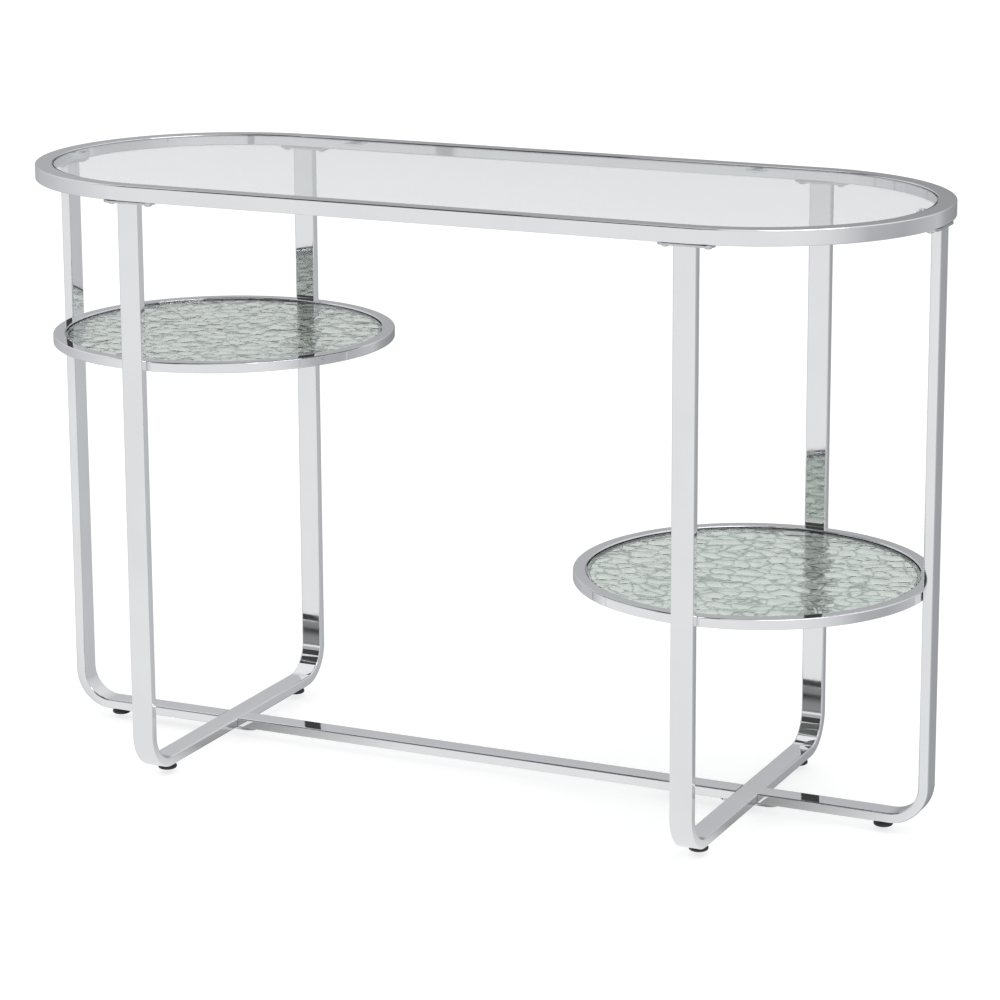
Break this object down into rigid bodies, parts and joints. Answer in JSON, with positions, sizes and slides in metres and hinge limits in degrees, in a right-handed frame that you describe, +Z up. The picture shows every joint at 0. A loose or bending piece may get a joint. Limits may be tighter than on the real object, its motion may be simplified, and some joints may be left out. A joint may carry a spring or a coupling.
{
  "type": "console table",
  "caption": "Console table: stadium-shaped clear glass top on a bent chrome flat-tube frame, with a high and a low round rippled-glass shelf between its end legs.",
  "frame": {"origin": "centre of the bounding box on the floor, under the middle of the top", "axes": "+X along the table's length towards the end with the low shelf, -Y the front, +Z up"},
  "size_m": [1.2, 0.474, 0.762],
  "materials": {
    "chrome_tube": "mirror-polished chrome plate on steel tube",
    "zinc_screw": "bright zinc plate",
    "clear_glass": "clear tempered float glass with ground edges",
    "ripple_glass": "rolled glass with a water-ripple relief",
    "clear_plastic": "clear soft PVC",
    "black_plastic": "moulded black nylon"
  },
  "bodies": {
    "table": {"top_frame": "chrome_tube", "top_glass": "clear_glass", "glass_tab_front_left": "chrome_tube", "glass_tab_front_right": "chrome_tube", "glass_tab_back_left": "chrome_tube", "glass_tab_back_right": "chrome_tube", "glass_tab_end_left": "chrome_tube", "glass_tab_end_right": "chrome_tube", "glass_bumper_front_left": "clear_plastic", "glass_bumper_front_right": "clear_plastic", "glass_bumper_back_left": "clear_plastic", "glass_bumper_back_right": "clear_plastic", "glass_bumper_end_left": "clear_plastic", "glass_bumper_end_right": "clear_plastic", "u_frame_left": "chrome_tube", "u_frame_right": "chrome_tube", "end_leg_left": "chrome_tube", "end_leg_right": "chrome_tube", "stretcher": "chrome_tube", "leg_plate_front_left": "chrome_tube", "leg_plate_back_left": "chrome_tube", "leg_plate_front_right": "chrome_tube", "leg_plate_back_right": "chrome_tube", "leg_plate_end_left": "chrome_tube", "leg_plate_end_right": "chrome_tube", "leg_plate_screw_front_left_1": "zinc_screw", "leg_plate_screw_front_left_2": "zinc_screw", "leg_plate_screw_back_left_1": "zinc_screw", "leg_plate_screw_back_left_2": "zinc_screw", "leg_plate_screw_front_right_1": "zinc_screw", "leg_plate_screw_front_right_2": "zinc_screw", "leg_plate_screw_back_right_1": "zinc_screw", "leg_plate_screw_back_right_2": "zinc_screw", "leg_plate_screw_end_left_1": "zinc_screw", "leg_plate_screw_end_left_2": "zinc_screw", "leg_plate_screw_end_right_1": "zinc_screw", "leg_plate_screw_end_right_2": "zinc_screw", "cross_plate_left": "chrome_tube", "cross_plate_right": "chrome_tube", "cross_screw_left_outer": "zinc_screw", "cross_screw_left_inner": "zinc_screw", "cross_screw_right_outer": "zinc_screw", "cross_screw_right_inner": "zinc_screw", "shelf_ring_left": "chrome_tube", "shelf_ring_right": "chrome_tube", "shelf_glass_left": "ripple_glass", "shelf_glass_right": "ripple_glass", "shelf_screw_left_end": "zinc_screw", "shelf_screw_left_front": "zinc_screw", "shelf_screw_left_back": "zinc_screw", "shelf_screw_right_end": "zinc_screw", "shelf_screw_right_front": "zinc_screw", "shelf_screw_right_back": "zinc_screw"},
    "leveller_front_left": {"foot_front_left": "black_plastic"},
    "leveller_back_left": {"foot_back_left": "black_plastic"},
    "leveller_front_right": {"foot_front_right": "black_plastic"},
    "leveller_back_right": {"foot_back_right": "black_plastic"},
    "leveller_end_left": {"foot_end_left": "black_plastic"},
    "leveller_end_right": {"foot_end_right": "black_plastic"}
  },
  "joints": [
    {"name": "leveller_front_left_travel", "type": "slide", "parent": "table", "child": "leveller_front_left", "axis": [0, 0, -1], "range_m": [0, 0.006]},
    {"name": "leveller_back_left_travel", "type": "slide", "parent": "table", "child": "leveller_back_left", "axis": [0, 0, -1], "range_m": [0, 0.006]},
    {"name": "leveller_front_right_travel", "type": "slide", "parent": "table", "child": "leveller_front_right", "axis": [0, 0, -1], "range_m": [0, 0.006]},
    {"name": "leveller_back_right_travel", "type": "slide", "parent": "table", "child": "leveller_back_right", "axis": [0, 0, -1], "range_m": [0, 0.006]},
    {"name": "leveller_end_left_travel", "type": "slide", "parent": "table", "child": "leveller_end_left", "axis": [0, 0, -1], "range_m": [0, 0.006]},
    {"name": "leveller_end_right_travel", "type": "slide", "parent": "table", "child": "leveller_end_right", "axis": [0, 0, -1], "range_m": [0, 0.006]}
  ]
}
